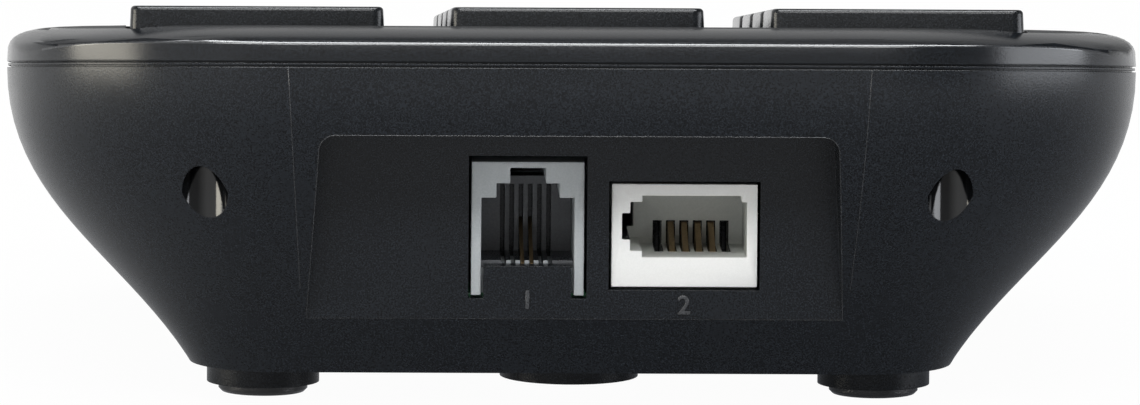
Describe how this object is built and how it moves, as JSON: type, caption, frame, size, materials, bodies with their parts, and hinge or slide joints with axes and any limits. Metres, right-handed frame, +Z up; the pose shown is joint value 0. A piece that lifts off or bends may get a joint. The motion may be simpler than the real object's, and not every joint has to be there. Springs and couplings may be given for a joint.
{
  "type": "big button telephone dialler",
  "caption": "Wedge-shaped desk dialler with large press keys on a sloped top, a line jack and an extension socket in a recessed rear panel, and rubber feet.",
  "frame": {"origin": "on the table under the middle of the case", "axes": "+Z up, +Y to the rear with the jacks, -Y to the user, +X to the user's right"},
  "size_m": [0.125, 0.1245, 0.0456],
  "materials": {
    "case_black": "fine moulded texture, satin black",
    "key_black": "satin black with plain pale numerals",
    "mat_rubber": "translucent grey silicone",
    "board_green": "solder mask",
    "chip_black": "moulded black",
    "screw_steel": "zinc plated",
    "ribbon_grey": "flat cable jacket",
    "jack_grey": "moulded grey",
    "socket_white": "moulded white",
    "contact_brass": "plated contacts",
    "foot_rubber": "black rubber"
  },
  "bodies": {
    "case": {"top_cover": "case_black", "lower_shell": "case_black", "key_mat": "mat_rubber", "key_board": "board_green", "controller_chip": "chip_black", "board_screws": "screw_steel", "jack_board": "board_green", "jack_board_screws": "screw_steel", "link_ribbon": "ribbon_grey", "line_jack": "jack_grey", "line_contact_block": "chip_black", "line_contacts": "contact_brass", "tel_socket": "socket_white", "tel_contacts": "contact_brass", "case_screws": "screw_steel", "rear_left_foot": "foot_rubber", "rear_right_foot": "foot_rubber", "front_left_foot": "foot_rubber", "front_right_foot": "foot_rubber"},
    "key_1": {"key_1": "key_black"},
    "key_2": {"key_2": "key_black"},
    "key_3": {"key_3": "key_black"},
    "key_4": {"key_4": "key_black"},
    "key_5": {"key_5": "key_black"},
    "key_6": {"key_6": "key_black"},
    "key_7": {"key_7": "key_black"},
    "key_8": {"key_8": "key_black"},
    "key_9": {"key_9": "key_black"},
    "key_star": {"key_star": "key_black"},
    "key_0": {"key_0": "key_black"},
    "key_hash": {"key_hash": "key_black"}
  },
  "joints": [
    {"name": "key_1_press", "type": "slide", "parent": "case", "child": "key_1", "axis": [0, 0.1271, -0.9919], "range_m": [0, 0.0013], "stiffness_N_per_m": 400, "springref_m": -0.0005, "deforming": ["key_mat"]},
    {"name": "key_2_press", "type": "slide", "parent": "case", "child": "key_2", "axis": [0, 0.1271, -0.9919], "range_m": [0, 0.0013], "stiffness_N_per_m": 400, "springref_m": -0.0005, "deforming": ["key_mat"]},
    {"name": "key_3_press", "type": "slide", "parent": "case", "child": "key_3", "axis": [0, 0.1271, -0.9919], "range_m": [0, 0.0013], "stiffness_N_per_m": 400, "springref_m": -0.0005, "deforming": ["key_mat"]},
    {"name": "key_4_press", "type": "slide", "parent": "case", "child": "key_4", "axis": [0, 0.1271, -0.9919], "range_m": [0, 0.0013], "stiffness_N_per_m": 400, "springref_m": -0.0005, "deforming": ["key_mat"]},
    {"name": "key_5_press", "type": "slide", "parent": "case", "child": "key_5", "axis": [0, 0.1271, -0.9919], "range_m": [0, 0.0013], "stiffness_N_per_m": 400, "springref_m": -0.0005, "deforming": ["key_mat"]},
    {"name": "key_6_press", "type": "slide", "parent": "case", "child": "key_6", "axis": [0, 0.1271, -0.9919], "range_m": [0, 0.0013], "stiffness_N_per_m": 400, "springref_m": -0.0005, "deforming": ["key_mat"]},
    {"name": "key_7_press", "type": "slide", "parent": "case", "child": "key_7", "axis": [0, 0.1271, -0.9919], "range_m": [0, 0.0013], "stiffness_N_per_m": 400, "springref_m": -0.0005, "deforming": ["key_mat"]},
    {"name": "key_8_press", "type": "slide", "parent": "case", "child": "key_8", "axis": [0, 0.1271, -0.9919], "range_m": [0, 0.0013], "stiffness_N_per_m": 400, "springref_m": -0.0005, "deforming": ["key_mat"]},
    {"name": "key_9_press", "type": "slide", "parent": "case", "child": "key_9", "axis": [0, 0.1271, -0.9919], "range_m": [0, 0.0013], "stiffness_N_per_m": 400, "springref_m": -0.0005, "deforming": ["key_mat"]},
    {"name": "key_star_press", "type": "slide", "parent": "case", "child": "key_star", "axis": [0, 0.1271, -0.9919], "range_m": [0, 0.0013], "stiffness_N_per_m": 400, "springref_m": -0.0005, "deforming": ["key_mat"]},
    {"name": "key_0_press", "type": "slide", "parent": "case", "child": "key_0", "axis": [0, 0.1271, -0.9919], "range_m": [0, 0.0013], "stiffness_N_per_m": 400, "springref_m": -0.0005, "deforming": ["key_mat"]},
    {"name": "key_hash_press", "type": "slide", "parent": "case", "child": "key_hash", "axis": [0, 0.1271, -0.9919], "range_m": [0, 0.0013], "stiffness_N_per_m": 400, "springref_m": -0.0005, "deforming": ["key_mat"]}
  ]
}
